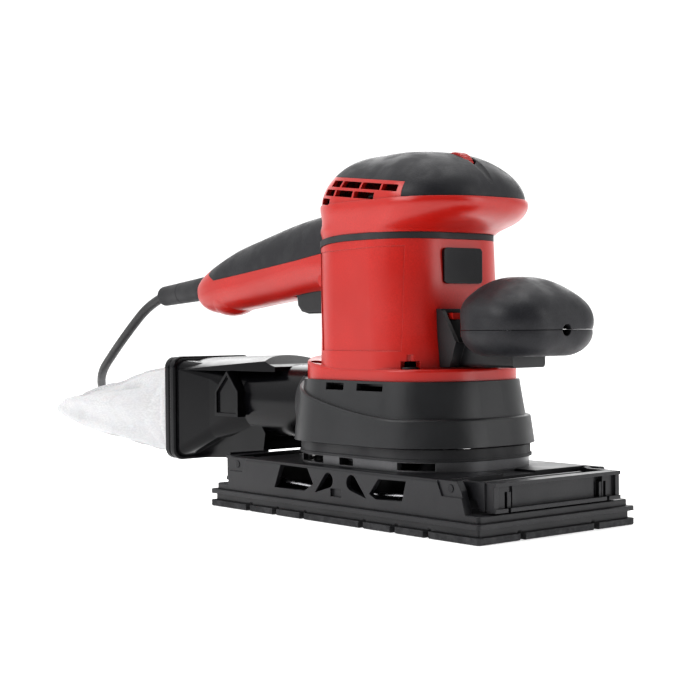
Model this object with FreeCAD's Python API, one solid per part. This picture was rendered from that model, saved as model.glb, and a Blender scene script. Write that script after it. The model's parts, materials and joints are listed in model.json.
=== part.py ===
import FreeCAD, Part
import math
import os

# Half-sheet orbital sander. Millimetres; +X to the front handle, +Y to the operator's left, +Z up.
# The origin is the centre of the sanding face. Every piece is a solid of its own.

V = FreeCAD.Vector
X_AXIS = V(1, 0, 0)
Y_AXIS = V(0, 1, 0)
Z_AXIS = V(0, 0, 1)

# Driving dimensions
PAD_L, PAD_W = 225.0, 115.0          # half-sheet pad
ORBIT = 1.3                          # eccentric throw, half of the 2.6 mm orbit
AX = -ORBIT                          # x of the motor axis; the pad's own axis is x = 0
SOLE_TOP, PLATE_TOP, FLANGE_TOP, CARRIER_TOP = 3.5, 10.0, 13.5, 29.5
COLLAR_TOP, SEAL_TOP = 35.0, 41.4
SKIRT_LOW, SKIRT_TOP = 42.0, 76.0
HOUSING_X = 3.0                      # the oval pad collar is set forward of the motor axis
FLANGE_X = 0.7                       # middle of the oval flange above the fan housing
FLANGE_Z = 82.6                      # top of the red flange at the front
BODY_HALF, BODY_R, WALL = 42.0, 28.0, 3.0
SEAM_Z, SEAM_R, STRIP_T = 151.2, 190.0, 3.6   # wavy joint between motor housing and head
HEAD_SEAM = 172.0                    # joint between the head and its cap
OUTLET_Z, OUTLET_R = 60.0, 19.0      # dust outlet
PIN_X, PIN_Z, PIN_R = 89.6, 25.6, 2.0         # paper clamp hinge pins
KNOB_X, KNOB_SEAM = 90.0, 102.6      # front handle
CORD_R = 3.25


def box(x0, x1, y0, y1, z0, z1):
    return Part.makeBox(x1 - x0, y1 - y0, z1 - z0, V(x0, y0, z0))


def cyl(r, x, y, z0, z1):
    return Part.makeCylinder(r, z1 - z0, V(x, y, z0), Z_AXIS)


def rod(r, start, end):
    run = V(*end) - V(*start)
    return Part.makeCylinder(r, run.Length, V(*start), run)


def round_rect(a, b, r, plane):
    """Wire of a rounded rectangle with half sides a and b, placed by plane(u, v)."""
    r = min(r, a - 0.05, b - 0.05)
    edges = []
    for i, (su, sv) in enumerate(((1, -1), (1, 1), (-1, 1), (-1, -1))):
        cu, cv = su * (a - r), sv * (b - r)
        start = math.radians(-90 + 90 * i)
        p = [plane(cu + r * math.cos(start + k * math.pi / 4), cv + r * math.sin(start + k * math.pi / 4))
             for k in range(3)]
        edges.append((p[0], p[1], p[2]))
    wire = []
    for i, (p0, p1, p2) in enumerate(edges):
        wire.append(Part.Arc(p0, p1, p2).toShape())
        wire.append(Part.LineSegment(p2, edges[(i + 1) % 4][0]).toShape())
    return Part.Wire(wire)


def flat(z, cx=0.0, cy=0.0):
    return lambda u, v: V(cx + u, cy + v, z)


def upright(x, cz, tilt=0.0, cy=0.0):
    """A section plane across the handle: u runs along Y, v up, leaning by tilt degrees."""
    s, c = math.sin(math.radians(tilt)), math.cos(math.radians(tilt))
    return lambda u, v: V(x - v * s, cy + u, cz + v * c)


def loft(wires, ruled=False):
    return Part.makeLoft(wires, True, ruled)


def oval(a, b, r, z0, z1, cx=0.0, cy=0.0):
    return Part.Face(round_rect(a, b, r, flat(z0, cx, cy))).extrude(V(0, 0, z1 - z0))


def shell(make, wall, z0, z1, *size, **where):
    a, b, r = size
    outer = make(a, b, r, z0, z1, **where)
    return outer.cut(make(a - wall, b - wall, r - wall, z0 - 1, z1 + 1, **where))


def side_profile(points, half_y):
    """Prism across Y of a polygon given as (x, z) points."""
    ring = [V(x, -half_y, z) for x, z in points]
    return Part.Face(Part.makePolygon(ring + ring[:1])).extrude(V(0, 2 * half_y, 0))


def mirror_y(shape):
    return shape.mirror(V(0, 0, 0), Y_AXIS)


def both_sides(shape):
    return [shape, mirror_y(shape)]


def join(shapes):
    first, rest = shapes[0], shapes[1:]
    return first.fuse(rest).removeSplitter() if rest else first


def soft(shape, r, pick):
    """Fillet the edges that pick() accepts; a fillet the kernel refuses is tried at half size."""
    edges = [e for e in shape.Edges if pick(e)]
    for radius in (r, r / 2, r / 4):
        try:
            made = shape.makeFillet(radius, edges)
            if made.isValid() and made.Volume > 0:
                return made
        except Exception:
            continue
    return shape


def level(z, tol=0.05):
    return lambda e: all(abs(v.Point.z - z) < tol for v in e.Vertexes) and abs(e.CenterOfMass.z - z) < tol


def export(node, *solids):
    shape = solids[0] if len(solids) == 1 else Part.makeCompound(list(solids))
    pieces = shape.Solids
    if not pieces or not all(s.isValid() and s.Volume > 0 for s in pieces):
        print("BAD SOLID", node, len(pieces))
    body = pieces[0] if len(pieces) == 1 else Part.makeCompound(pieces)
    body.exportStep(f"parts/{node}.step")
    print(f"{node:22s} {len(pieces)} solid(s) {sum(s.Volume for s in pieces) / 1000:8.2f} cm3")


# ---------------------------------------------------------------- pad

NOTCH_X = (-75, -50, -25, 25, 50, 75)
NOTCH_Y = (-27, 27)


def notches():
    """Arched dust notches along the rim, 4 mm wide and 4.5 mm high."""
    cuts = []
    for x in NOTCH_X:
        for side in (-1, 1):
            y0, y1 = sorted((side * (PAD_W / 2 - 9), side * (PAD_W / 2 + 1)))
            cuts.append(box(x - 2, x + 2, y0, y1, -1, 2.5))
            cuts.append(Part.makeCylinder(2, y1 - y0, V(x, y0, 2.5), Y_AXIS))
    for y in NOTCH_Y:
        for side in (-1, 1):
            x0, x1 = sorted((side * (PAD_L / 2 - 9), side * (PAD_L / 2 + 1)))
            cuts.append(box(x0, x1, y - 2, y + 2, -1, 2.5))
            cuts.append(Part.makeCylinder(2, x1 - x0, V(x0, y, 2.5), X_AXIS))
    return cuts


def pad_sole():
    sole = oval(PAD_L / 2, PAD_W / 2, 2, 0, SOLE_TOP)
    sole = soft(sole, 0.8, level(0))
    return sole.cut(notches())


def pad_plate():
    core = oval(PAD_L / 2 - 2.5, PAD_W / 2 - 2.5, 1, SOLE_TOP, 7.5)
    lip = oval(PAD_L / 2, PAD_W / 2, 2, 7.5, PLATE_TOP)
    lip = soft(lip, 0.5, level(PLATE_TOP))
    return join([core, lip]).cut(notches())


BEARING_R, BEARING_Z = 17.5, (15.0, 25.0)
WINDOWS = (((-53, 15.2), (-47.2, 28.2), (-23, 27.8), (-18, 19.6), (-26, 15.2)),
           ((29, 18), (36, 26.2), (57.7, 26.7), (54.6, 16.3), (34, 15.6)))


def teardrop(x, z, r, tail_x, tail_z):
    """Round hole drawn out to a point, cut right across the carrier."""
    hole = Part.makeCylinder(r, PAD_W, V(x, -PAD_W / 2, z), Y_AXIS)
    dx, dz = tail_x - x, tail_z - z
    far = math.hypot(dx, dz)
    spread = math.acos(r / far)
    toward = math.atan2(dz, dx)
    touch = [(x + r * math.cos(toward + s * spread), z + r * math.sin(toward + s * spread)) for s in (-1, 1)]
    return hole.fuse(side_profile([(tail_x, tail_z), touch[0], (x, z), touch[1]], PAD_W / 2))


def pad_carrier():
    flange = oval(PAD_L / 2 - 2.75, PAD_W / 2 - 2.75, 2, PLATE_TOP, FLANGE_TOP)
    flange = soft(flange, 0.7, level(FLANGE_TOP))
    half_y = PAD_W / 2 - 2.75
    profile = [(-98, PLATE_TOP + 1), (-98, CARRIER_TOP), (94, CARRIER_TOP), (97, 25), (100.5, FLANGE_TOP),
               (100.5, PLATE_TOP + 1)]
    housing = side_profile(profile, half_y)
    housing = soft(housing, 1.6, lambda e: abs(abs(e.CenterOfMass.y) - half_y) < 0.01
                   and e.CenterOfMass.z > CARRIER_TOP - 0.1 or abs(e.CenterOfMass.x + 98) < 0.01
                   and e.CenterOfMass.z > CARRIER_TOP - 0.1)
    housing = housing.cut(box(-81, 81, -half_y + 3, half_y - 3, FLANGE_TOP, CARRIER_TOP - 3))
    ends = [box(84, 120, -50, 50, FLANGE_TOP, 40), box(-120, -84, -50, 50, FLANGE_TOP, 40)]
    carrier = join([flange, housing]).cut(ends)
    boss = cyl(BEARING_R + 4, 0, 0, FLANGE_TOP - 0.5, CARRIER_TOP)
    carrier = join([carrier, boss])
    seat = cyl(BEARING_R, 0, 0, BEARING_Z[0], CARRIER_TOP + 1)
    cuts = [seat]
    cuts += [side_profile(w, PAD_W / 2).cut(cyl(BEARING_R + 6, 0, 0, 0, 40)) for w in WINDOWS]
    drops = [teardrop(-5.0, 22.6, 4.0, -16.5, 15.2), teardrop(14.6, 22.6, 4.2, 26.5, 15.4)]
    cuts += [d.cut(cyl(BEARING_R + 6, 0, 0, 0, 40)) for d in drops]
    cuts.append(side_profile([(-3, 14.2), (-3, 18.5), (6, 18.5), (6, 14.2)], PAD_W / 2).cut(
        box(-20, 20, -half_y + 1.5, half_y - 1.5, 10, 30)))
    for side in (-1, 1):
        cuts.append(rod(PIN_R, (side * PIN_X, -half_y - 1, PIN_Z), (side * PIN_X, half_y + 1, PIN_Z)))
        recess = [(side * 98.5, 30), (side * 98.5, 21.5), (side * 84, 21.5), (side * 80, 30)]
        panel = side_profile(recess, half_y + 1).cut(box(-130, 130, -half_y + 0.8, half_y - 0.8, 0, 40))
        cuts.append(panel)
    cuts.append(box(70, 86, -12, 12, CARRIER_TOP - 1.2, 40))
    return carrier.cut(cuts)


def pad_bearing():
    z0, z1 = BEARING_Z
    ring = cyl(BEARING_R, 0, 0, z0, z1).cut(cyl(8.5, 0, 0, z0 - 1, z1 + 1))
    groove = Part.makeTorus(13, 2.6, V(0, 0, z0), Z_AXIS)
    return ring.cut([groove, groove.translated(V(0, 0, z1 - z0))])


def pad_collar():
    ring = shell(oval, 3, CARRIER_TOP, COLLAR_TOP, 66, 46, 38, cx=HOUSING_X)
    doors = []
    for x0, x1 in ((-44, -20), (-6, 5.5), (40, 58)):
        doors.append(box(x0, x1, -60, -20, CARRIER_TOP + 0.9, COLLAR_TOP - 0.7))
    doors.append(box(-70, -55, -30, -8, CARRIER_TOP + 0.9, COLLAR_TOP - 0.7))
    doors = [d for door in doors for d in both_sides(door)]
    return ring.cut(doors)


def seal_ring():
    low = shell(oval, 4.6, COLLAR_TOP, COLLAR_TOP + 1.3, 67.6, 47.6, 39.6, cx=HOUSING_X)
    top = shell(oval, 3.8, COLLAR_TOP + 1.3, SEAL_TOP, 66.8, 46.8, 38.8, cx=HOUSING_X)
    return join([low, top]).cut(rod(OUTLET_R + 2.2, (-95, 0, OUTLET_Z), (-50, 0, OUTLET_Z)))


def clamp_pins():
    half_y = PAD_W / 2 - 3.2
    return [rod(PIN_R, (s * PIN_X, -half_y, PIN_Z), (s * PIN_X, half_y, PIN_Z)) for s in (-1, 1)]


def clamp_wires():
    """Spring wires along the carrier's inner walls, two for each clamp."""
    wires = []
    for side in (-1, 1):
        for y in (-47.5, 47.5):
            wires.append(rod(1.2, (side * 81, y, 19.5), (side * 20, y, 16.6)))
    return wires


def paper_clamp(side):
    """Clamp bar of C section with two arms that turn on the hinge pin."""
    web = box(105.0, 107.0, -46, 46, 14.6, 29.0)
    lips = [box(105.0, 112.4, -46, 46, 27.2, 29.0), box(105.0, 112.4, -46, 46, 14.4, 16.4)]
    cheeks = [box(105.0, 111.4, s * 44.5 - 1.5, s * 44.5 + 1.5, 14.6, 29.0) for s in (-1, 1)]
    ribs = [box(105.0, 109.5, s * 33.4 - 1.0, s * 33.4 + 1.0, 14.6, 24.0) for s in (-1, 1)]
    posts = [box(106.5, 109.8, s * 39.0 - 4.6, s * 39.0 + 4.6, 14.6, 29.0) for s in (-1, 1)]
    grip = box(106.5, 108.0, -30, 30, 16, 27.5)
    bar = join([web, grip] + lips + cheeks + ribs + posts)
    bar = bar.cut([box(104, 113, s * 36.2 - 0.9, s * 36.2 + 0.9, 13, 24.2) for s in (-1, 1)])
    arms = []
    for s in (-1, 1):
        y0, y1 = sorted((s * 43.0, s * 47.0))
        arm = side_profile([(PIN_X, PIN_Z - 3.6), (PIN_X, PIN_Z + 3.2), (98, 29.0), (106, 29.0), (106, 15.0),
                            (103.0, 15.0), (100.5, 20)], 2.0).translated(V(0, (y0 + y1) / 2, 0))
        hub = Part.makeCylinder(4.0, 4.0, V(PIN_X, y0, PIN_Z), Y_AXIS)
        arms.append(arm.fuse(hub))
    whole = join([bar] + arms)
    whole = whole.cut(rod(PIN_R + 0.06, (PIN_X, -60, PIN_Z), (PIN_X, 60, PIN_Z)))
    return whole if side > 0 else whole.mirror(V(0, 0, 0), X_AXIS)


# ---------------------------------------------------------------- drive line

SHAFT_R, SHAFT_TIP_R = 6.0, 4.0


def eccentric():
    """Crank pin for the pad bearing, throw disc and counterweight in one casting."""
    pin = cyl(8.5, 0, 0, BEARING_Z[0] + 0.2, 26.4)
    disc = cyl(15.5, 0, 0, 26.4, 31.0)
    hub = cyl(12, AX, 0, 31.0, 43.4)
    weight = cyl(34, AX, 0, 31.0, 41.0).common(box(AX - 40, AX - 4, -40, 40, 30, 42))
    body = join([pin, disc, hub, weight])
    return body.cut([cyl(SHAFT_R, AX, 0, 33.0, 50), cyl(3.0, 0, 0, 10, 24)])


def motor_shaft():
    main = cyl(SHAFT_R, AX, 0, 33.0, 156.0)
    tip = cyl(SHAFT_TIP_R, AX, 0, 155.0, 172.0)
    return join([main, tip])


FAN_Z = (49.0, 67.0)


def fan():
    hub = cyl(11, AX, 0, 47.0, 69.0)
    plate = cyl(38, AX, 0, FAN_Z[1] - 2, FAN_Z[1])
    blades = []
    for i in range(14):
        blade = box(AX + 14, AX + 37.6, -0.9, 0.9, FAN_Z[0], FAN_Z[1] - 1)
        blade.rotate(V(AX + 14, 0, 0), Z_AXIS, 24)
        blade.rotate(V(AX, 0, 0), Z_AXIS, 360.0 / 14 * i)
        blades.append(blade)
    wheel = join([hub, plate] + blades)
    return wheel.cut(cyl(SHAFT_R, AX, 0, 40, 80)).common(cyl(38, AX, 0, 40, 80))


STATOR_Z = (96.0, 134.0)


def armature_core():
    core = cyl(22, AX, 0, *STATOR_Z)
    slots = []
    for i in range(12):
        slot = box(AX + 14, AX + 24, -1.1, 1.1, STATOR_Z[0] - 1, STATOR_Z[1] + 1)
        slot.rotate(V(AX, 0, 0), Z_AXIS, 30.0 * i)
        slots.append(slot)
    return core.cut(slots + [cyl(SHAFT_R, AX, 0, 90, 140)])


def armature_windings():
    ends = []
    for z0, z1 in ((90.0, STATOR_Z[0]), (STATOR_Z[1], 139.5)):
        ring = cyl(19, AX, 0, z0, z1).cut(cyl(SHAFT_R, AX, 0, z0 - 1, z1 + 1))
        ends.append(soft(ring, 1.8, lambda e: e.Length > 100))
    return ends


def commutator():
    drum = cyl(12.5, AX, 0, 139.5, 150.5)
    cuts = []
    for i in range(24):
        cut = box(AX + 11.6, AX + 14, -0.35, 0.35, 138, 152)
        cut.rotate(V(AX, 0, 0), Z_AXIS, 15.0 * i)
        cuts.append(cut)
    return drum.cut(cuts + [cyl(SHAFT_R, AX, 0, 130, 160)])


def ball_bearing(outer, inner, z0, z1):
    ring = cyl(outer, AX, 0, z0, z1).cut(cyl(inner, AX, 0, z0 - 1, z1 + 1))
    groove = Part.makeTorus((outer + inner) / 2, (outer - inner) / 5, V(AX, 0, z0), Z_AXIS)
    return ring.cut([groove, groove.translated(V(0, 0, z1 - z0))])


# ---------------------------------------------------------------- lower housing

POSTS = [(HOUSING_X + sx * 44, sy * 27) for sx in (-1, 1) for sy in (-1, 1)]


def tier(inset, *sections):
    """Tapering oval from sections (z, half length, half width, corner radius, middle x)."""
    return loft([round_rect(a - inset, b - inset, r - inset, flat(z, cx)) for z, a, b, r, cx in sections],
                ruled=True)


def upper_tier(inset):
    return tier(inset, (SKIRT_LOW, 67.2, 49.3, 41.0, 1.7), (57.0, 64.9, 47.2, 39.0, 1.2),
                (SKIRT_TOP, 62.0, 44.6, 36.4, FLANGE_X))


def step_cap():
    """Everything below the step of the fan housing, which climbs towards the dust outlet."""
    half_y, level_z, rear_z = 80.0, 56.8, 80.0
    p = [V(100, -half_y, level_z), V(45, -half_y, level_z), V(-14, -half_y, 63.4), V(-72, -half_y, rear_z)]
    low = [V(-72, -half_y, 30), V(100, -half_y, 30)]
    edges = [Part.LineSegment(p[0], p[1]).toShape(), Part.Arc(p[1], p[2], p[3]).toShape(),
             Part.LineSegment(p[3], low[0]).toShape(), Part.LineSegment(low[0], low[1]).toShape(),
             Part.LineSegment(low[1], p[0]).toShape()]
    return Part.Face(Part.Wire(edges)).extrude(V(0, 2 * half_y, 0))


def lower_tier():
    """The wider lower step of the housing, with a rounded shoulder."""
    band = tier(0, (SKIRT_LOW, 69.2, 51.2, 42.8, 2.0),
                (SKIRT_TOP + 2, 64.7, 46.9, 38.6, 0.9)).common(step_cap())
    return soft(band, 1.4, lambda e: e.CenterOfMass.z > 56.0 and e.CenterOfMass.x > -64.0)


WINDOW_X = ((-18.0, -3.0), (8.0, 29.0))


def rim_windows():
    """Low rectangular air slots under the flange on both flanks."""
    return [box(x0, x1, y, y + 21, 70.8, 74.6) for x0, x1 in WINDOW_X for y in (-60, 39)]


def fan_housing():
    boss = rod(OUTLET_R + 4.2, (-74.5, 0, OUTLET_Z), (-40, 0, OUTLET_Z))
    body = join([upper_tier(0), lower_tier(), boss]).common(box(-90, 90, -70, 70, SKIRT_LOW, SKIRT_TOP))
    hollow = upper_tier(WALL)
    low_room = hollow.common(box(-90, 90, -70, 70, SKIRT_LOW - 1, 43.8))
    fan_room = hollow.common(box(-90, 90, -70, 70, 46.4, SKIRT_TOP - 3))
    pillars = [cyl(8, x, y, 43.8, SKIRT_TOP) for x, y in POSTS]
    fan_room = fan_room.cut(pillars)
    throat = cyl(30, AX, 0, 43, 47).fuse(cyl(33, AX, 0, SKIRT_TOP - 4, SKIRT_TOP + 1))
    outlet = rod(OUTLET_R - 2.4, (-95, 0, OUTLET_Z), (-44, 0, OUTLET_Z))
    spigot = rod(OUTLET_R, (-92, 0, OUTLET_Z), (-62, 0, OUTLET_Z))
    body = body.cut([low_room, fan_room, throat] + rim_windows()).fuse(spigot).cut(outlet)
    return body.cut([cyl(2.2, x, y, 70, 90) for x, y in SCREW_SPOTS]).removeSplitter()


def rubber_posts():
    made = []
    for x, y in POSTS:
        low, high = CARRIER_TOP + 0.1, 43.8
        mid = (low + high) / 2
        wires = [Part.Wire(Part.makeCircle(r, V(x, y, z), Z_AXIS))
                 for r, z in ((7.0, low), (6.4, low + 2), (5.2, mid), (6.4, high - 2), (7.0, high))]
        made.append(loft(wires))
    return made


def bearing_plate():
    """Deck under the motor that holds the lower bearing and carries the four housing screws."""
    disc = oval(58.7, 41, 33, SKIRT_TOP, SKIRT_TOP + 3, cx=FLANGE_X)
    cup = cyl(20, AX, 0, SKIRT_TOP, 88)
    body = join([disc, cup]).cut([cyl(16, AX, 0, SKIRT_TOP - 1, 86), cyl(8, AX, 0, 80, 90)])
    vents = []
    for i in range(6):
        vent = cyl(4.2, AX + 27, 0, 70, 82)
        vent.rotate(V(AX, 0, 0), Z_AXIS, 30 + 60.0 * i)
        vents.append(vent)
    return body.cut(vents + [cyl(2.2, x, y, 70, 90) for x, y in SCREW_SPOTS])


def seam_band(z_shift, height, x0=-75.0, x1=110.0, half_y=60.0):
    """Block whose underside is level at the front and dips towards the handle."""
    z = SEAM_Z + z_shift
    drop = lambda x: SEAM_R - math.sqrt(SEAM_R ** 2 - x * x)
    p = [V(x1, -half_y, z), V(0, -half_y, z), V(x0 / 2, -half_y, z - drop(x0 / 2)),
         V(x0, -half_y, z - drop(x0))]
    edges = [Part.LineSegment(p[0], p[1]).toShape(), Part.Arc(p[1], p[2], p[3]).toShape()]
    up = V(0, 0, height)
    if height > STRIP_T + 1:
        top = z + height
        a, b = V(x0, -half_y, top), V(x1, -half_y, top)
        edges += [Part.LineSegment(p[3], a).toShape(), Part.LineSegment(a, b).toShape(),
                  Part.LineSegment(b, p[0]).toShape()]
    else:
        q = [v + up for v in p]
        edges += [Part.LineSegment(p[3], q[3]).toShape(), Part.Arc(q[3], q[2], q[1]).toShape(),
                  Part.LineSegment(q[1], q[0]).toShape(), Part.LineSegment(q[0], p[0]).toShape()]
    return Part.Face(Part.Wire(edges)).extrude(V(0, 2 * half_y, 0))


def body_column(inset, z0=76.0, z1=165.0):
    """The motor housing's column: slightly deeper front to back at its foot."""
    sections = ((z0, 45.0, 42.4, 2.6), (100.0, 43.6, 42.2, 1.6), (z1, BODY_HALF, BODY_HALF, 0.0))
    wires = [round_rect(a - inset, b - inset, BODY_R - inset, flat(z, AX + lean))
             for z, a, b, lean in sections]
    return loft(wires, ruled=True)


def flange_cap():
    """Everything below the flange's top, which climbs towards the dust outlet."""
    x0, rise, half_y = -70.0, 9.0, 80.0
    p = [V(100, -half_y, FLANGE_Z), V(-6, -half_y, FLANGE_Z), V(-40, -half_y, FLANGE_Z + rise * 0.33),
         V(x0, -half_y, FLANGE_Z + rise)]
    low = [V(x0, -half_y, 60), V(100, -half_y, 60)]
    edges = [Part.LineSegment(p[0], p[1]).toShape(), Part.Arc(p[1], p[2], p[3]).toShape(),
             Part.LineSegment(p[3], low[0]).toShape(), Part.LineSegment(low[0], low[1]).toShape(),
             Part.LineSegment(low[1], p[0]).toShape()]
    return Part.Face(Part.Wire(edges)).extrude(V(0, 2 * half_y, 0))


SCREW_SPOTS = [(x, side * 33.9) for x in (-37.0, 38.6) for side in (-1, 1)]


def bracket_tabs(grow):
    """Two moulded hooks of the motor housing that hold the top of the front handle's bracket."""
    return [box(38.5, 50.5 + grow, s * 11.0 - 3.2 - grow, s * 11.0 + 3.2 + grow, 108.4 - grow, 111.8 + grow)
            for s in (-1, 1)]


def motor_housing():
    column = body_column(0).cut(seam_band(0, 40))
    flange = oval(60.3, 42.9, 34.8, SKIRT_TOP, 95, cx=FLANGE_X).common(flange_cap())
    flange = soft(flange, 1.6, lambda e: e.CenterOfMass.z > FLANGE_Z - 0.5)
    skin = join([column, flange])
    room = body_column(WALL, 70.0).common(box(-80, 80, -60, 60, SKIRT_TOP + 3, 170))
    pit = oval(57.3, 39.9, 31.8, SKIRT_TOP - 1, SKIRT_TOP + 3.2, cx=FLANGE_X)
    dish = oval(58.9, 41.2, 33.2, SKIRT_TOP - 1, SKIRT_TOP + 3.0, cx=FLANGE_X)
    skin = skin.cut([room, pit, dish])
    cuts = []
    for x, y in SCREW_SPOTS:
        cuts.append(cyl(5.2, x, y, FLANGE_Z - 1.5, FLANGE_Z + (4.0 if x > 0 else 9.0)))
        cuts.append(cyl(2.2, x, y, 70, 90))
    skin = skin.cut(cuts)
    recess = side_profile([(-27, 92), (-33, 146), (34, 147.4), (34, 92)], 50)
    recess = recess.cut(body_column(0.5, 76.0))
    skin = skin.cut([recess.common(box(-60, 60, -60, -20, 80, 160)),
                     recess.common(box(-60, 60, 20, 60, 80, 160))])
    return skin.fuse(bracket_tabs(0))


def damping_strip():
    ring = oval(BODY_HALF + 0.5, BODY_HALF + 0.5, BODY_R + 0.5, 130, 170, cx=AX)
    ring = ring.cut(oval(BODY_HALF - 4, BODY_HALF - 4, BODY_R - 4, 129, 171, cx=AX))
    return ring.common(seam_band(0.05, STRIP_T - 0.1))


def nameplate():
    plate = box(41.5, 43.6, -13.5, 14.5, 127.5, 146.5)
    plate = soft(plate, 2.2, lambda e: abs(e.Length - 2.1) < 0.01)
    return plate.cut(body_column(0)).Solids[0]


# ---------------------------------------------------------------- head and rear handle

HEAD_LOW = ((148.0, -1.3, 42.0, 42.0, 28.0), (156.5, 1.4, 44.8, 42.2, 28.6), (160.0, 7.2, 50.7, 43.0, 31.0),
            (164.0, 11.2, 54.9, 44.0, 34.0), (168.0, 12.2, 57.2, 44.8, 36.0), (HEAD_SEAM, 11.8, 57.0, 44.6,
                                                                               36.0))
HEAD_HIGH = ((HEAD_SEAM, 11.6, 56.4, 44.0, 35.6), (178.0, 11.3, 55.1, 43.0, 35.0),
             (184.0, 10.4, 51.6, 39.8, 32.5),
             (190.0, 8.9, 45.9, 34.4, 29.0), (195.0, 7.2, 38.2, 26.8, 23.0), (198.5, 4.6, 27.0, 16.4, 14.0),
             (200.4, 1.0, 12.0, 7.0, 6.0))


def head_loft(sections, inset, lift=0.0):
    wires = []
    for z, cx, a, b, r in sections:
        wires.append(round_rect(max(a - inset, 2.0), max(b - inset, 1.6), max(r - inset, 1.0),
                                flat(z - lift, cx)))
    return loft(wires)


HANDLE = ((-30.0, 149.0, 20.0, 23.0, 8.5), (-60.0, 147.8, 19.5, 22.8, 8.5), (-80.0, 146.2, 19.0, 21.9, 9.0),
          (-105.0, 142.3, 17.8, 21.2, 9.0), (-130.0, 138.3, 17.0, 19.9, 9.5), (-152.0, 134.4, 16.6, 18.5,
                                                                               9.5),
          (-170.0, 130.3, 16.4, 16.4, 9.5), (-182.0, 127.6, 15.4, 13.4, 9.5), (-190.0, 126.6, 13.0, 8.6,
                                                                               9.5))
LOBE = (-168.0, 125.6)                # x, z of the rounded stop under the handle's end
LOBE_R = (21.0, 15.6, 13.4)


def lobe():
    """Rounded bulge under the handle's end, which keeps the hand from sliding off."""
    ball = Part.makeSphere(1.0)
    grow = FreeCAD.Matrix()
    grow.scale(*LOBE_R)
    grow.move(V(LOBE[0], 0, LOBE[1]))
    return ball.transformGeometry(grow)


def handle_solid(inset):
    """Rear handle: rounded sections (x, mid height, half width, half height, tilt)."""
    wires = []
    for x, cz, hy, hz, tilt in HANDLE:
        hy, hz = hy - inset, hz - inset
        wires.append(round_rect(hy, hz, min(hy, hz) * 0.86, upright(x, cz, tilt)))
    return loft(wires)


GRIP_FRONT = -46.4                    # the red head reaches this far back over the handle


def grip_line(lift=0.0):
    """Everything above the joint between the handle's red lower half and its grey cover."""
    front = GRIP_FRONT - lift
    pts = [(front, 147.9 + lift), (-79.0, 143.8 + lift), (-129.0, 138.6 + lift), (-167.0, 134.6 + lift),
           (-175.5, 138.5 + lift), (-177.5, 146.0), (-177.5, 190), (front, 190)]
    return side_profile(pts, 40)


def head_room():
    return head_loft(HEAD_LOW, WALL)


VENT_FRONT, VENT_TOP, VENT_SLOPE = 42.0, 180.0, -0.12
VENT_ROWS = ((-2.0, (39.0, 26.0, 8.6, -8.6, -19.0)), (-7.1, (21.6, 3.6, -12.2, -24.0)),
             (-12.2, (-16.0, -28.0)))


def vent_slots():
    """Three slanted rows of slots on each rear flank, with thin ribs between them."""
    slots = []
    for drop, ends in VENT_ROWS:
        for front, back in zip(ends, ends[1:]):
            low = [VENT_TOP + drop - 3.4 + VENT_SLOPE * (x - VENT_FRONT) for x in (front, back + 1.5)]
            slot = side_profile([(front, low[0]), (front + 0.6, low[0] + 3.4), (back + 2.1, low[1] + 3.4),
                                 (back + 1.5, low[1])], 60)
            slots.append(slot.cut(box(-80, 80, -18, 18, 150, 210)))
    return slots


def vent_zone():
    """The red rear shoulder that reaches up into the cap, where the vents are."""
    rear = -80.0
    top = VENT_TOP + VENT_SLOPE * (-44.0 - VENT_FRONT)
    return side_profile([(rear, HEAD_SEAM - 0.01), (VENT_FRONT, HEAD_SEAM - 0.01),
                         (VENT_FRONT + 0.6, VENT_TOP),
                         (-44.0, top), (rear, top)], 70)


def head_full(inset):
    low = head_loft(HEAD_LOW, inset)
    high = head_loft(HEAD_HIGH, inset, lift=inset * 0.8 if inset else 0.0)
    return low, high


TRIGGER_X = (-93.0, -49.0)


def handle_room():
    return handle_solid(2.6).common(box(-186.5, -46.5, -60, 60, 90, 200))


def head_housing():
    low, high = head_full(0)
    outer = join([low, high.common(vent_zone()), handle_solid(0).cut(grip_line()), lobe()])
    rooms = [head_loft(((140.0, -1.3, 42.0, 42.0, 28.0),) + HEAD_LOW, WALL), head_loft(HEAD_HIGH, WALL)]
    outer = outer.cut(rooms + [handle_room()])
    above = outer.common(seam_band(STRIP_T, 60))
    handle_part = outer.common(box(-220, AX - BODY_HALF - 0.6, -60, 60, 90, 172))
    outer = above.fuse(handle_part)
    slot = box(TRIGGER_X[0] - 1.6, TRIGGER_X[1] + 0.9, -TRIGGER_HALF - 0.6, TRIGGER_HALF + 0.6, 100, 131.5)
    button = Part.makeCylinder(LOCK_R + 0.4, 30, V(LOCK[0], 8, LOCK[2]), Y_AXIS)
    bosses = [rod(4.0, (TRIGGER_PIN[0], s * 10.6, TRIGGER_PIN[1]),
                  (TRIGGER_PIN[0], s * 18.0, TRIGGER_PIN[1]))
              for s in (-1, 1)]
    outer = outer.cut([slot, sleeve_cone(), button] + vent_slots()).fuse(bosses)
    outer = outer.cut(cross_rod(1.5, 14.0))
    return max(outer.Solids, key=lambda s: s.Volume).removeSplitter()


def head_cap():
    cap = head_loft(HEAD_HIGH, 0).cut([head_loft(HEAD_HIGH, 2.8, lift=2.4), vent_zone()])
    slot = box(DIAL[0] - 9.8, DIAL[0] + 9.8, -4.0, 4.0, 180, 210)
    tip, toe = V(47, 1.5, 199.5), V(66.5, 0, 180.0)
    dimple = Part.makeCone(5.2, 1.4, (toe - tip).Length, tip, toe - tip)
    wheel_well = rod(DIAL_R + 0.7, (DIAL[0], -4.2, DIAL[2]), (DIAL[0], 4.2, DIAL[2]))
    cap = cap.cut([slot, dimple, wheel_well])
    return max(cap.Solids, key=lambda s: s.Volume)


def handle_cover():
    cover = handle_solid(0).common(grip_line(0.15)).cut([handle_room(), head_loft(HEAD_LOW, -0.1)])
    return max(cover.Solids, key=lambda s: s.Volume)


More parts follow.
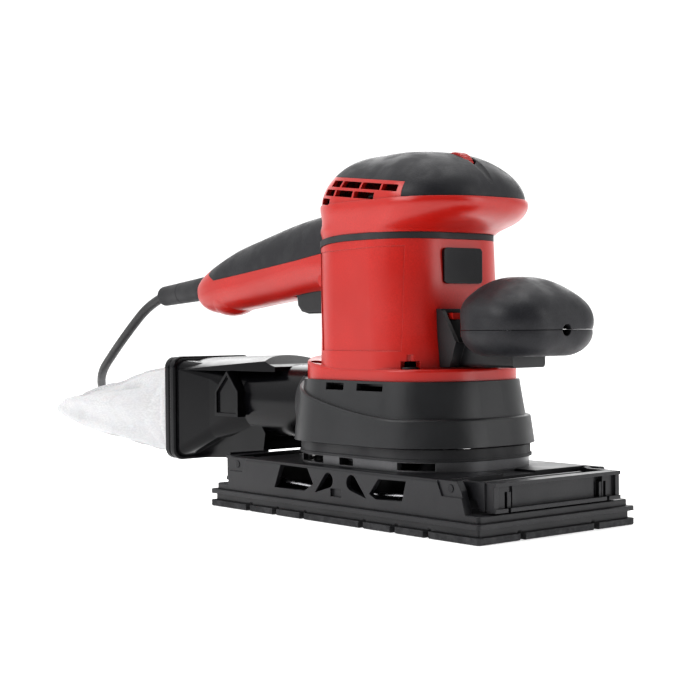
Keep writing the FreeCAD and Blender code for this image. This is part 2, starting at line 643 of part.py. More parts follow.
TRIGGER_HALF = 7.4
TRIGGER_PIN = (-54.5, 132.0)


def trigger():
    """Finger lever under the handle; its rear end swings up on the pin."""
    side = [(-91.5, 131.0), (-93.0, 125.0), (-92.0, 117.5), (-88.5, 114.0), (-82.0, 112.6), (-70.0, 113.0),
            (-58.0, 115.0), (-50.5, 118.5), (-50.0, 127.0), (-54.5, 135.2), (-60.0, 132.4)]
    blade = side_profile(side, TRIGGER_HALF)
    blade = soft(blade, 1.6, lambda e: abs(abs(e.CenterOfMass.y) - TRIGGER_HALF) < 0.01
                 and e.CenterOfMass.z < 124)
    groove = side_profile([(-92, 129), (-92, 133), (-60, 134.5), (-60, 120), (-88, 120)], TRIGGER_HALF - 2)
    blade = blade.cut(groove)
    return blade.cut(cross_rod(1.56, 20.0))


LOCK = (-104.0, 9.8, 133.8)
LOCK_R = 4.4
LOCK_LONG = 10.4


def cross_rod(r, half_y):
    return rod(r, (TRIGGER_PIN[0], -half_y, TRIGGER_PIN[1]), (TRIGGER_PIN[0], half_y, TRIGGER_PIN[1]))


def lock_button():
    stem = Part.makeCylinder(LOCK_R, LOCK_LONG, V(*LOCK), Y_AXIS)
    stem = soft(stem, 1.0, lambda e: e.CenterOfMass.y > LOCK[1] + LOCK_LONG - 0.5)
    collar = Part.makeCylinder(LOCK_R + 1.4, 1.2, V(*LOCK), Y_AXIS)
    return join([stem, collar])


DIAL = (40.0, 0.0, 187.4)
DIAL_R = 10.3


def speed_dial():
    wheel = Part.makeCylinder(DIAL_R, 6.6, V(DIAL[0], -3.3, DIAL[2]), Y_AXIS)
    wheel = soft(wheel, 0.6, lambda e: e.Length > 50)
    cuts = []
    for i in range(36):
        angle = math.radians(10.0 * i)
        at = V(DIAL[0] + DIAL_R * math.cos(angle), -4, DIAL[2] + DIAL_R * math.sin(angle))
        cuts.append(Part.makeCylinder(0.45, 8, at, Y_AXIS))
    return wheel.cut(cuts + [rod(1.56, (DIAL[0], -5, DIAL[2]), (DIAL[0], 5, DIAL[2]))])


def speed_module():
    """Electronics board across the head, with the yoke and pin that carry the speed wheel."""
    board = head_loft(HEAD_HIGH, 2.8, lift=2.4).common(box(14, 62, -60, 60, 173.4, 175.2))
    potting = box(16, 58, -15, 15, 175.2, 176.7)
    yoke = [box(DIAL[0] - 3, DIAL[0] + 3, s * 5.2 - 1.0, s * 5.2 + 1.0, 176.7, DIAL[2] + 2.6) for s in (-1,
                                                                                                        1)]
    pin = rod(1.5, (DIAL[0], -5, DIAL[2]), (DIAL[0], 5, DIAL[2]))
    return join([board, potting, pin] + yoke)


def switch_module():
    case = box(-88, -62, -8.5, 8.5, 139.5, 156.0)
    plunger = cyl(2.0, -80, 0, 137.6, 139.6)
    lugs = [box(-87 + 20 * i, -84 + 20 * i, -3, 3, 156, 159) for i in range(2)]
    return join([case, plunger] + lugs)


def switch_cradle():
    """Rib frame that carries the switch between the handle's side walls."""
    plate = handle_room().common(box(-89.5, -60.5, -60, 60, 137.4, 157.0))
    return max(plate.cut([box(-88, -62, -8.5, 8.5, 136, 158), box(-86, -64, -30, 30, 136, 158)]).Solids,
               key=lambda s: s.Volume)


def cord_clamp():
    clamp = handle_room().common(box(-172.0, -164.0, -9.0, 9.0, 117.0, 139.0))
    return clamp.cut(rod(CORD_R, (-180, 0, SLEEVE_A[2] + 1.0), (-160, 0, SLEEVE_A[2] - 0.6)))


def motor_stator():
    stack = cyl(36.2, AX, 0, *STATOR_Z)
    feet = [box(AX - 45, AX + 50, -9, 9, STATOR_Z[0], STATOR_Z[1]), box(AX - 9, AX + 9, -45, 45, *STATOR_Z)]
    feet = [f.common(body_column(WALL)) for f in feet]
    return join([stack] + feet).cut(cyl(22.7, AX, 0, 80, 150))


def field_coils():
    coils = []
    for z0, z1 in ((89.5, STATOR_Z[0]), (STATOR_Z[1], 139.8)):
        ring = cyl(33.5, AX, 0, z0, z1).cut(cyl(24.0, AX, 0, z0 - 1, z1 + 1))
        for s in (-1, 1):
            y0, y1 = sorted((s * 9.0, s * 40.0))
            coils.append(soft(ring.common(box(AX - 40, AX + 40, y0, y1, z0, z1)), 1.2,
                              lambda e: e.Length > 20))
    return coils


BRUSH_Z = 145.0


def brush_holders():
    made = []
    for s in (-1, 1):
        y0, y1 = sorted((s * 17.0, s * 45.0))
        holder = box(AX - 6, AX + 6, y0, y1, BRUSH_Z - 4.6, BRUSH_Z + 4.6).common(body_column(WALL))
        near, far = sorted((s * 16.0, s * 31.0))
        made.append(holder.cut(box(AX - 4, AX + 4, near, far, BRUSH_Z - 3, BRUSH_Z + 3)))
    return made


def carbon_brushes():
    made = []
    for s in (-1, 1):
        y0, y1 = sorted((s * 12.7, s * 31.0))
        made.append(box(AX - 4, AX + 4, y0, y1, BRUSH_Z - 3, BRUSH_Z + 3).cut(cyl(12.62, AX, 0, 130, 160)))
    return made


def bearing_bracket():
    """Bridge across the head that seats the upper bearing."""
    arms = head_room().common(box(AX - 9, AX + 9, -60, 60, 162.0, 168.0))
    cup = cyl(15, AX, 0, 161.0, 171.4)
    return join([arms, cup]).cut([cyl(11, AX, 0, 160, 170), cyl(6.5, AX, 0, 150, 180)])


def housing_screws():
    made = []
    for x, y in SCREW_SPOTS:
        head = soft(cyl(4.5, x, y, FLANGE_Z - 1.5, FLANGE_Z + 1.1), 0.6, level(FLANGE_Z + 1.1))
        corners = [V(x + 2.3 * math.cos(math.pi / 3 * k), y + 2.3 * math.sin(math.pi / 3 * k),
                     FLANGE_Z - 0.8)
                   for k in range(7)]
        socket = Part.Face(Part.makePolygon(corners)).extrude(V(0, 0, 4))
        made.append(head.fuse(cyl(2.2, x, y, SKIRT_TOP - 3, FLANGE_Z - 1.5)).cut(socket))
    return made


# ---------------------------------------------------------------- front handle

ARM_Z = (83.4, 96.0)
KNOB_LOW = ((89.4, 16.0, 20.0, 13.0), (91.2, 21.5, 26.8, 18.6), (96.0, 26.1, 31.6, 21.4),
            (KNOB_SEAM, 27.3, 33.0, 22.0))
KNOB_HIGH = ((KNOB_SEAM + 0.25, 27.3, 33.0, 22.0), (110.0, 27.6, 33.4, 22.4), (115.5, 26.4, 31.8, 22.0),
             (121.0, 22.0, 26.6, 18.6), (125.5, 16.2, 19.8, 13.8), (128.6, 9.6, 12.0, 8.0), (129.8, 4.0,
                                                                                             5.0, 3.6))
KNOB_LEAN = 0.22                      # the dome's crest sits behind the knob's middle
BOLT_X = 74.0
BRACKET_HALF = 19.0


def knob_loft(sections, inset=0.0):
    wires = [round_rect(a - inset, b - inset, r - inset, flat(z, KNOB_X - KNOB_LEAN * max(0.0, z - 110.0)))
             for z, a, b, r in sections]
    return loft(wires)


def knob_hole():
    return rod(3.0, (KNOB_X + 22, 0, KNOB_SEAM), (KNOB_X + 40, 0, KNOB_SEAM))


def front_handle_lower():
    bowl = knob_loft(KNOB_LOW).cut(knob_loft(KNOB_LOW, 3.0).common(box(40, 140, -50, 50, 92.6, 110)))
    socket = box(50, 92, -12.2, 12.2, 80, ARM_Z[1] + 0.2)
    liner = box(58, 94.5, -15, 15, 91.5, ARM_Z[1] + 3)
    bowl = join([bowl, liner.common(knob_loft(KNOB_LOW))]).cut([socket, cyl(3.2, BOLT_X, 0, 80, 110),
                                                                knob_hole()])
    return max(bowl.Solids, key=lambda s: s.Volume)


def front_handle_upper():
    dome = knob_loft(KNOB_HIGH).cut(knob_loft(KNOB_HIGH, 3.0).common(box(40, 140, -50, 50, 100, 124)))
    boss = cyl(6.0, BOLT_X, 0, KNOB_SEAM + 0.25, 128).common(knob_loft(KNOB_HIGH))
    return join([dome, boss]).cut([cyl(3.0, BOLT_X, 0, 100, 113), knob_hole()])


def handle_bolt():
    shank = cyl(3.0, BOLT_X, 0, 88.4, 113)
    head = cyl(5.4, BOLT_X, 0, ARM_Z[0] + 0.4, 88.4)
    return join([shank, head]).cut(cyl(2.4, BOLT_X, 0, 80, 86.4))


def front_handle_bracket():
    arm = box(40, 91.5, -12, 12, *ARM_Z)
    arm = soft(arm, 2.0, lambda e: abs(abs(e.CenterOfMass.y) - 12) < 0.01
               and abs(e.CenterOfMass.z - ARM_Z[0]) < 0.01)
    plate = box(38, 46.5, -BRACKET_HALF, BRACKET_HALF, 83.4, 114.0)
    cheek = side_profile([(40, 114), (47.5, 113.0), (57.5, 96.5), (52.5, 83.4), (40, 83.4)], BRACKET_HALF)
    cheek = cheek.cut(box(46, 80, -BRACKET_HALF + 2.4, BRACKET_HALF - 2.4, ARM_Z[1], 130))
    body = join([arm, plate, cheek]).cut([body_column(0), box(30, 60, -5, 5, 99, 130)])
    body = body.cut([cyl(5.8, BOLT_X, 0, 80, 88.4), cyl(3.2, BOLT_X, 0, 80, 110)] + bracket_tabs(0.3))
    return max(body.Solids, key=lambda s: s.Volume)


# ---------------------------------------------------------------- dust box and bag

BOX_BACK, BOX_FRONT, NECK_FRONT, NECK_BACK = -197.0, -191.0, -74.9, -128.0
FRAME_HALF = (31.2, 33.3)
FRAME_MID = 53.1
NECK_R = 22.0
ROOF_R, ROOF_LOW = 62.0, 78.0


def across(x, mid=FRAME_MID):
    return lambda u, v: V(x, u, mid + v)


def frame_ring(x0, x1, half, hole, r=7.0, edge=1.6):
    ring = Part.Face(round_rect(half[0], half[1], r, across(x0))).extrude(V(x1 - x0, 0, 0))
    ring = soft(ring, edge, lambda e: abs(e.CenterOfMass.x - x0) < 0.01 or abs(e.CenterOfMass.x - x1) < 0.01)
    cut = Part.Face(round_rect(hole[0], hole[1], 5, across(x0 - 1))).extrude(V(x1 - x0 + 2, 0, 0))
    return ring.cut(cut)


def hopper(inset):
    wires = [round_rect(29.0 - inset, 31.0 - inset, 6, across(BOX_FRONT - 1)),
             round_rect(24.6 - inset, 23.5 - inset, 9, across(-161.0, 58.0)),
             round_rect(NECK_R - 0.1 - inset, NECK_R - 0.1 - inset, NECK_R - 0.4 - inset,
                        across(NECK_BACK - 2, OUTLET_Z))]
    return loft(wires, ruled=True)


def roof():
    """Crowned roof that runs from the frame to the top of the tube."""
    side = side_profile([(BOX_FRONT - 1, ROOF_LOW), (BOX_FRONT - 1, 86.0), (-116.0, 89.0), (-103.0, 82.4),
                         (-98.0, 81.0),
                         (-98.0, ROOF_LOW)], 40)
    plan = Part.Face(Part.makePolygon([V(-192, -30.2, 60), V(-98, -20.0, 60), V(-98, 20.0, 60),
                                       V(-192, 30.2, 60),
                                       V(-192, -30.2, 60)])).extrude(V(0, 0, 60))
    crown = rod(ROOF_R, (-200, 0, 85.0 - ROOF_R), (-90, 0, 88.4 - ROOF_R))
    return side.common(plan).common(crown)


def neck():
    return rod(NECK_R, (NECK_BACK - 3, 0, OUTLET_Z), (NECK_FRONT, 0, OUTLET_Z))


def keel():
    return side_profile([(BOX_FRONT - 1, 20.6), (-152.5, 23.0), (-152.0, 26.2), (-117.0, 29.6),
                         (-115.0, 40.0),
                         (-122.0, 48.0), (-160.0, 40.0), (BOX_FRONT - 1, 30.0)], 15.0)


def dust_box():
    frame = frame_ring(BOX_BACK, BOX_FRONT, FRAME_HALF, (26.0, 28.0))
    outer = join([frame, hopper(0), roof(), keel(), neck()])
    bore = rod(OUTLET_R + 0.12, (NECK_BACK - 4, 0, OUTLET_Z), (NECK_FRONT + 5, 0, OUTLET_Z))
    outer = outer.cut([hopper(2.6), bore])
    return max(outer.Solids, key=lambda s: s.Volume)


def box_latches():
    """House-shaped spring latches on the flanks of the dust box."""
    outline = [(-151.5, 50.0), (-151.5, 65.5), (-138.5, 78.0), (-127.0, 65.5), (-127.0, 50.0)]
    inner = [(-149.5, 52.0), (-149.5, 64.7), (-138.5, 75.2), (-129.0, 64.7), (-129.0, 52.0)]
    rim = side_profile(outline, 27.0).cut(side_profile(inner, 40))
    panel = side_profile(outline, 25.6)
    solid = join([rim, panel]).cut([box(-160, -110, -21.0, 21.0, 40, 90), hopper(0), roof(), neck()])
    return sorted(solid.Solids, key=lambda s: s.CenterOfMass.y)


def bag_frame():
    return frame_ring(BOX_BACK - 6.3, BOX_BACK - 0.2, (30.9, 33.0), (27.0, 29.0))


BAG = ((-203.6, 52.5, 28.4, 31.0), (-225.0, 52.0, 29.4, 32.4), (-254.0, 51.4, 28.6, 29.6),
       (-283.0, 50.6, 26.6, 26.0),
       (-312.0, 49.6, 24.0, 20.6), (-340.0, 48.6, 20.4, 16.4), (-365.0, 48.0, 16.4, 11.2), (-384.0, 47.8,
                                                                                            12.0, 6.8),
       (-395.0, 47.8, 8.0, 3.8))


def dust_bag():
    wires = [round_rect(hy, hz, min(hy, hz) * 0.75, across(x, mid)) for x, mid, hy, hz in BAG]
    return loft(wires)


# ---------------------------------------------------------------- mains lead

SLEEVE_A, SLEEVE_B = (-184.0, 0.0, 131.8), (-250.0, 0.0, 126.2)
ROUTE = [(-250.0, 0.0, 126.2), (-269.0, 0.0, 121.0), (-296.0, 1.5, 105.0), (-328.0, 6.0, 87.0),
         (-366.0, 16.5, 70.0),
         (-394.0, 36.0, 52.0), (-398.0, 68.0, 34.5), (-380.0, 100.0, 18.0), (-345.0, 121.0, 7.0),
         (-305.0, 124.0, 3.25), (-266.0, 110.0, 3.25), (-228.0, 86.0, 3.25), (-195.0, 76.25, 3.25),
         (-172.0, 76.25, 3.25)]
COIL_X, COIL_Y, COIL_MID = -156.0, 125.0, 39.0
COIL_TURNS = (4, 3, 4, 3)            # turns in each layer, nested in one another
COIL_HIGH = 2 * CORD_R + 3 * 2 * CORD_R * math.sqrt(3) / 2


def sleeve_cone():
    run = V(*SLEEVE_B) - V(*SLEEVE_A)
    return Part.makeCone(8.0, 6.6, run.Length, V(*SLEEVE_A), run)


def strain_relief():
    start, end = V(*SLEEVE_A), V(*SLEEVE_B)
    run = end - start
    sleeve = sleeve_cone()
    sleeve = soft(sleeve, 2.4, lambda e: abs(e.CenterOfMass.x - end.x) < 0.5)
    rings = []
    for i in range(3):
        at = start + run * (0.50 + 0.13 * i)
        ring = Part.makeTorus(7.75 - 0.2 * i, 0.7, at, run)
        rings.append(ring)
    return sleeve.cut(rings)


def lead_path(points):
    """Straight runs joined by tangent arcs, each as large as its two runs allow."""
    pts = [V(*p) for p in points]
    edges, radii, at = [], [], pts[0]
    for before, here, after in zip(pts, pts[1:], pts[2:]):
        a, b = here - before, after - here
        turn = a.getAngle(b)
        radius = 0.45 * min(a.Length, b.Length) / math.tan(turn / 2)
        cut = radius * math.tan(turn / 2)
        ua, ub = a.normalize(), b.normalize()
        start, end = here - ua * cut, here + ub * cut
        bisector = (ub - ua).normalize()
        middle = here + bisector * (radius / math.cos(turn / 2) - radius)
        edges += [Part.LineSegment(at, start).toShape(), Part.Arc(start, middle, end).toShape()]
        radii.append(radius)
        at = end
    edges.append(Part.LineSegment(at, pts[-1]).toShape())
    return Part.Wire(edges), radii


def cord_lead():
    wire, radii = lead_path(ROUTE)
    first = V(*ROUTE[1]) - V(*ROUTE[0])
    ring = Part.Wire(Part.makeCircle(CORD_R, V(*ROUTE[0]), first))
    tube = wire.makePipeShell([ring], True, False)
    section = math.pi * CORD_R ** 2
    print("cord radii", [round(r, 1) for r in radii], "length", round(wire.Length, 1),
          "volume ratio", round(tube.Volume / (section * wire.Length), 4))
    return tube


def coil_outer():
    half = COIL_TURNS[0] * CORD_R
    return COIL_MID - half, COIL_MID + half


def annulus(grow):
    r0, r1 = coil_outer()
    return cyl(r1 + grow, COIL_X, COIL_Y, max(0.0, -grow), COIL_HIGH + grow).cut(
        cyl(r0 - grow, COIL_X, COIL_Y, -5, COIL_HIGH + 5))


def coil_tie():
    wedge = box(COIL_X, COIL_X + 80, COIL_Y - 4.5, COIL_Y + 4.5, -5, 60)
    return annulus(1.1).common(wedge).cut(annulus(0).cut(box(-300, 300, 0, 300, -1, 0.8)))


def cord_coil():
    ring = soft(annulus(0), 2.0, level(COIL_HIGH))
    return ring.cut(box(COIL_X, COIL_X + 80, COIL_Y - 4.5, COIL_Y + 4.5, -1, 0.8))


PLUG_Y, PLUG_Z = COIL_Y + 45.5, 15.5


def plug():
    """Moulded two-pin plug with its own tapered sleeve."""
    x = COIL_X - 24.0
    sleeve = Part.makeCone(4.2, 6.6, 28.0, V(x, PLUG_Y, PLUG_Z), V(-1, 0, 0))
    wires = [round_rect(7.5, 7.0, 5.5, lambda u, v: V(x - 27.5, PLUG_Y + u, PLUG_Z + v)),
             round_rect(16.5, 12.5, 10.5, lambda u, v: V(x - 38, PLUG_Y + u, PLUG_Z + v)),
             round_rect(17.5, 15.2, 13.0, lambda u, v: V(x - 56, PLUG_Y + u, PLUG_Z + v)),
             round_rect(17.5, 15.2, 13.0, lambda u, v: V(x - 62, PLUG_Y + u, PLUG_Z + v))]
    body = loft(wires, ruled=True)
    return join([sleeve, body])


def plug_pins():
    x = COIL_X - 24.0 - 62.0
    pins = [rod(2.4, (x, PLUG_Y + s * 9.5, PLUG_Z), (x - 19, PLUG_Y + s * 9.5, PLUG_Z)) for s in (-1, 1)]
    return [soft(p, 1.0, lambda e: e.CenterOfMass.x < x - 18) for p in pins]


NODES = (("pad_sole", pad_sole), ("pad_plate", pad_plate), ("pad_carrier", pad_carrier),
         ("pad_bearing", pad_bearing),
         ("pad_collar", pad_collar), ("seal_ring", seal_ring), ("clamp_pins", clamp_pins),
         ("clamp_wires", clamp_wires), ("front_paper_clamp", lambda: paper_clamp(1)),
         ("rear_paper_clamp", lambda: paper_clamp(-1)), ("eccentric", eccentric), ("motor_shaft",
                                                                                   motor_shaft),
         ("fan", fan), ("armature_core", armature_core), ("armature_windings", armature_windings),
         ("commutator", commutator), ("lower_bearing", lambda: ball_bearing(16, SHAFT_R + 0.05, 76.0, 86.0)),
         ("upper_bearing", lambda: ball_bearing(11, SHAFT_TIP_R + 0.05, 163.0, 170.0)),
         ("fan_housing", fan_housing), ("rubber_posts", rubber_posts), ("bearing_plate", bearing_plate),
         ("motor_housing", motor_housing), ("motor_stator", motor_stator), ("field_coils", field_coils),
         ("brush_holders", brush_holders), ("carbon_brushes", carbon_brushes), ("housing_screws",
                                                                                housing_screws),
         ("damping_strip", damping_strip), ("nameplate", nameplate), ("head_housing", head_housing),
         ("head_cap", head_cap), ("bearing_bracket", bearing_bracket), ("speed_dial", speed_dial),
         ("speed_module", speed_module), ("handle_cover", handle_cover), ("trigger", trigger),
         ("trigger_pin", lambda: cross_rod(1.5, 13.5)),
         ("lock_button", lock_button), ("switch_module", switch_module), ("switch_cradle", switch_cradle),
         ("cord_clamp", cord_clamp), ("front_handle_bracket", front_handle_bracket),
         ("front_handle_lower", front_handle_lower), ("front_handle_upper", front_handle_upper),
         ("handle_bolt", handle_bolt), ("dust_box", dust_box), ("box_latches", box_latches),
         ("bag_frame", bag_frame), ("dust_bag", dust_bag), ("strain_relief", strain_relief),
         ("cord_lead", cord_lead), ("cord_coil", cord_coil), ("coil_tie", coil_tie), ("plug", plug),
         ("plug_pins", plug_pins))


def build():
    os.makedirs("parts", exist_ok=True)
    for node, make in NODES:
        made = make()
        export(node, *(made if isinstance(made, list) else [made]))


build()
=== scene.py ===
import json
import math

import bmesh
import bpy
from mathutils import Matrix, Vector, noise


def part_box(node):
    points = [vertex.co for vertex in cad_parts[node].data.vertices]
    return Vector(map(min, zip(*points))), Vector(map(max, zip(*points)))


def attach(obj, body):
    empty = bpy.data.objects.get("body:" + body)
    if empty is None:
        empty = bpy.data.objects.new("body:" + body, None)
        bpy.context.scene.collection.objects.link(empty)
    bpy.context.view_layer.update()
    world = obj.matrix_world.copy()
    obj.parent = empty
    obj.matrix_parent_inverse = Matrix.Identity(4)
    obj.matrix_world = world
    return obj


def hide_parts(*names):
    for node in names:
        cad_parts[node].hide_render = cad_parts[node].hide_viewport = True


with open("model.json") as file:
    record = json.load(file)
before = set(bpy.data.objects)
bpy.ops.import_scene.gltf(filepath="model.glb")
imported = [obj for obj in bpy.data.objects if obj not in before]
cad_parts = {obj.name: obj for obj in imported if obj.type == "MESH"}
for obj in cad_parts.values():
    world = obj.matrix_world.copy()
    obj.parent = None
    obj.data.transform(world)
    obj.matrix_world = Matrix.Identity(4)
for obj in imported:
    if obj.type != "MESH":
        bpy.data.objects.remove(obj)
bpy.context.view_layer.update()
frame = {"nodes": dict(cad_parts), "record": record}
NODES = frame["nodes"]

# ---------------------------------------------------------------- camera

AZIMUTH = math.radians(50.31)
ELEVATION = math.radians(1.04)
ROLL = math.radians(-0.51)
DISTANCE = 0.8759
LOOK_AT = Vector((-0.0515, 0.0, 0.0912))
LENS = 77.2

TO_CAMERA = Vector((math.sin(AZIMUTH) * math.cos(ELEVATION), -math.cos(AZIMUTH) * math.cos(ELEVATION),
                    math.sin(ELEVATION)))
LEVEL_RIGHT = Vector((math.cos(AZIMUTH), math.sin(AZIMUTH), 0))
LEVEL_UP = TO_CAMERA.cross(LEVEL_RIGHT)
RIGHT = LEVEL_RIGHT * math.cos(ROLL) + LEVEL_UP * math.sin(ROLL)
UP = LEVEL_UP * math.cos(ROLL) - LEVEL_RIGHT * math.sin(ROLL)


def from_camera(right, up, back):
    """A place given from the point looked at: to the picture's right, up, and towards the camera."""
    return LOOK_AT + RIGHT * right + UP * up + TO_CAMERA * back


def make_camera():
    camera = bpy.data.objects.new("camera", bpy.data.cameras.new("camera"))
    camera.data.sensor_width = 36
    camera.data.lens = LENS
    camera.data.clip_start = 0.01
    camera.data.clip_end = 60
    camera.matrix_world = Matrix.Translation(from_camera(0, 0, DISTANCE)) @ Matrix(
        (RIGHT, UP, TO_CAMERA)).transposed().to_4x4()
    bpy.context.scene.collection.objects.link(camera)
    bpy.context.scene.camera = camera


# ---------------------------------------------------------------- mains lead

CORD_R = 0.00325
ROUTE = [(-0.250, 0.0, 0.1262), (-0.269, 0.0, 0.121), (-0.296, 0.0015, 0.105), (-0.328, 0.006, 0.087),
         (-0.366, 0.0165, 0.070), (-0.394, 0.036, 0.052), (-0.398, 0.068, 0.0345), (-0.380, 0.100, 0.018),
         (-0.345, 0.121, 0.007), (-0.305, 0.124, 0.00325), (-0.266, 0.110, 0.00325),
         (-0.228, 0.086, 0.00325), (-0.195, 0.07625, 0.00325), (-0.172, 0.07625, 0.00325)]
COIL_CENTRE = Vector((-0.156, 0.125, 0.0))
COIL_MIDDLE = 0.039
COIL_TURNS = (4, 3, 4, 3)
STEPS = 24
CROSSING = 4
PLUG_Z = 0.0155


def coil_rings():
    """Radius and height of each turn: nested layers that are wound inwards and outwards by turns."""
    outer = COIL_MIDDLE + (COIL_TURNS[0] - 1) * CORD_R
    rings = []
    for layer, turns in enumerate(COIL_TURNS):
        height = CORD_R * (1 + layer * math.sqrt(3))
        for turn in range(turns):
            inward = outer - 2 * CORD_R * turn
            outward = outer - CORD_R - 2 * CORD_R * (turns - 1 - turn)
            rings.append((outward if layer % 2 else inward, height))
    return rings


def coil_points():
    points = []
    before = coil_rings()[0]
    for ring in coil_rings():
        for step in range(STEPS):
            share = min(1.0, step / CROSSING)
            share = share * share * (3 - 2 * share)
            radius = before[0] + (ring[0] - before[0]) * share
            height = before[1] + (ring[1] - before[1]) * share
            angle = 2 * math.pi * step / STEPS - math.pi / 2
            points.append(COIL_CENTRE + Vector((radius * math.cos(angle), radius * math.sin(angle), height)))
        before = ring
    return points[:len(points) - STEPS // 2 + 1]


def plug_end(last):
    return [last + Vector((-0.010, 0, -0.0008)), Vector((COIL_CENTRE.x - 0.020, last.y, PLUG_Z + 0.0004)),
            Vector((COIL_CENTRE.x - 0.030, last.y, PLUG_Z))]


def make_cord(material):
    turns = coil_points()
    points = [Vector(p) for p in ROUTE[:-1]] + turns + plug_end(turns[-1])
    curve = bpy.data.curves.new("mains_cord", "CURVE")
    curve.dimensions = "3D"
    curve.bevel_depth = CORD_R
    curve.bevel_resolution = 4
    curve.resolution_u = 8
    curve.use_fill_caps = True
    spline = curve.splines.new("NURBS")
    spline.points.add(len(points) - 1)
    for point, place in zip(spline.points, points):
        point.co = (*place, 1)
    spline.order_u = 3
    spline.use_endpoint_u = True
    spline.use_smooth = True
    cord = bpy.data.objects.new("mains_cord", curve)
    bpy.context.scene.collection.objects.link(cord)
    curve.materials.append(material)
    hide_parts("cord_lead", "cord_coil")
    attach(cord, "housing")


# ---------------------------------------------------------------- materials

class Look:
    """One material and the nodes added to it. Sizes are in metres, on the object's own coordinates."""

    def __init__(self, name, roughness, metallic=0.0, specular=0.5, coat=0.0, sheen=0.0):
        self.material = bpy.data.materials.new(name)
        self.material.use_nodes = True
        self.tree = self.material.node_tree
        self.shader = self.tree.nodes["Principled BSDF"]
        self.shader.inputs["Roughness"].default_value = roughness
        self.shader.inputs["Metallic"].default_value = metallic
        self.shader.inputs["Specular IOR Level"].default_value = specular
        self.shader.inputs["Coat Weight"].default_value = coat
        self.shader.inputs["Coat Roughness"].default_value = 0.08
        self.shader.inputs["Sheen Weight"].default_value = sheen
        self.place = self.add("ShaderNodeTexCoord").outputs["Object"]
        self.normal = None

    def add(self, kind, **settings):
        node = self.tree.nodes.new(kind)
        for name, value in settings.items():
            setattr(node, name, value)
        return node

    def link(self, source, target):
        self.tree.links.new(source, target)

    def stretched(self, scale):
        node = self.add("ShaderNodeMapping")
        node.inputs["Scale"].default_value = scale
        self.link(self.place, node.inputs["Vector"])
        return node.outputs["Vector"]

    def noise(self, size, detail=2.0, stretch=(1, 1, 1)):
        node = self.add("ShaderNodeTexNoise")
        node.inputs["Scale"].default_value = 1 / size
        node.inputs["Detail"].default_value = detail
        self.link(self.stretched(stretch), node.inputs["Vector"])
        return node.outputs["Fac"]

    def cells(self, size, stretch=(1, 1, 1)):
        node = self.add("ShaderNodeTexVoronoi", feature="SMOOTH_F1")
        node.inputs["Scale"].default_value = 1 / size
        self.link(self.stretched(stretch), node.inputs["Vector"])
        return node.outputs["Distance"]

    def spread(self, source, low, high, start=0.35, end=0.65):
        node = self.add("ShaderNodeMapRange", interpolation_type="SMOOTHSTEP")
        node.inputs["From Min"].default_value = start
        node.inputs["From Max"].default_value = end
        node.inputs["To Min"].default_value = low
        node.inputs["To Max"].default_value = high
        self.link(source, node.inputs["Value"])
        return node.outputs["Result"]

    def product(self, a, b):
        node = self.add("ShaderNodeMath", operation="MULTIPLY")
        self.link(a, node.inputs[0])
        self.link(b, node.inputs[1])
        return node.outputs[0]

    def mixed(self, share, low, high):
        """Colour between low and high, each a colour or the colour output of another node."""
        node = self.add("ShaderNodeMix", data_type="RGBA")
        self.link(share, node.inputs[0])
        for source, target in ((low, node.inputs[6]), (high, node.inputs[7])):
            if isinstance(source, tuple):
                target.default_value = (*source, 1)
            else:
                self.link(source, target)
        return node.outputs[2]

    def colour(self, source):
        self.link(source, self.shader.inputs["Base Color"])

    def rough(self, source):
        self.link(source, self.shader.inputs["Roughness"])

    def bump(self, height, depth, strength=1.0):
        node = self.add("ShaderNodeBump")
        node.inputs["Distance"].default_value = depth
        node.inputs["Strength"].default_value = strength
        self.link(height, node.inputs["Height"])
        if self.normal is not None:
            self.link(self.normal, node.inputs["Normal"])
        self.normal = node.outputs["Normal"]
        self.link(self.normal, self.shader.inputs["Normal"])

    def edges(self, radius):
        """Rounds the look of sharp edges by that radius, and gives 1 along them and 0 elsewhere."""
        bevel = self.add("ShaderNodeBevel", samples=4)
        bevel.inputs["Radius"].default_value = radius
        true = self.add("ShaderNodeNewGeometry")
        dot = self.add("ShaderNodeVectorMath", operation="DOT_PRODUCT")
        self.link(bevel.outputs["Normal"], dot.inputs[0])
        self.link(true.outputs["Normal"], dot.inputs[1])
        self.normal = bevel.outputs["Normal"]
        self.link(self.normal, self.shader.inputs["Normal"])
        return self.spread(dot.outputs["Value"], 1.0, 0.0, 0.80, 0.99)


def scaled(colour, factor):
    return tuple(min(1.0, c * factor) for c in colour)


def moulded(name, colour, roughness, grain=0.0006, depth=0.00003, edge=0.0005, wear=1.35, **finish):
    """Moulded plastic or rubber: cloudy colour, fingered gloss, spark-eroded grain and rubbed edges."""
    look = Look(name, roughness, **finish)
    cloudy = look.mixed(look.spread(look.noise(0.045, 3), 0, 1), scaled(colour, 0.90), scaled(colour, 1.08))
    speck = look.spread(look.noise(grain * 1.7, 1), 0, 1, 0.3, 0.7)
    specks = look.mixed(speck, scaled(colour, 0.93), cloudy)
    rubbed = look.product(look.edges(edge), look.spread(look.noise(0.004, 3), 0, 0.7, 0.4, 0.7))
    look.colour(look.mixed(rubbed, specks, scaled(colour, wear)))
    look.rough(look.spread(look.noise(0.018, 4), roughness * 0.86, roughness * 1.16, 0.3, 0.7))
    look.bump(look.noise(grain, 1.5), depth)
    return look.material


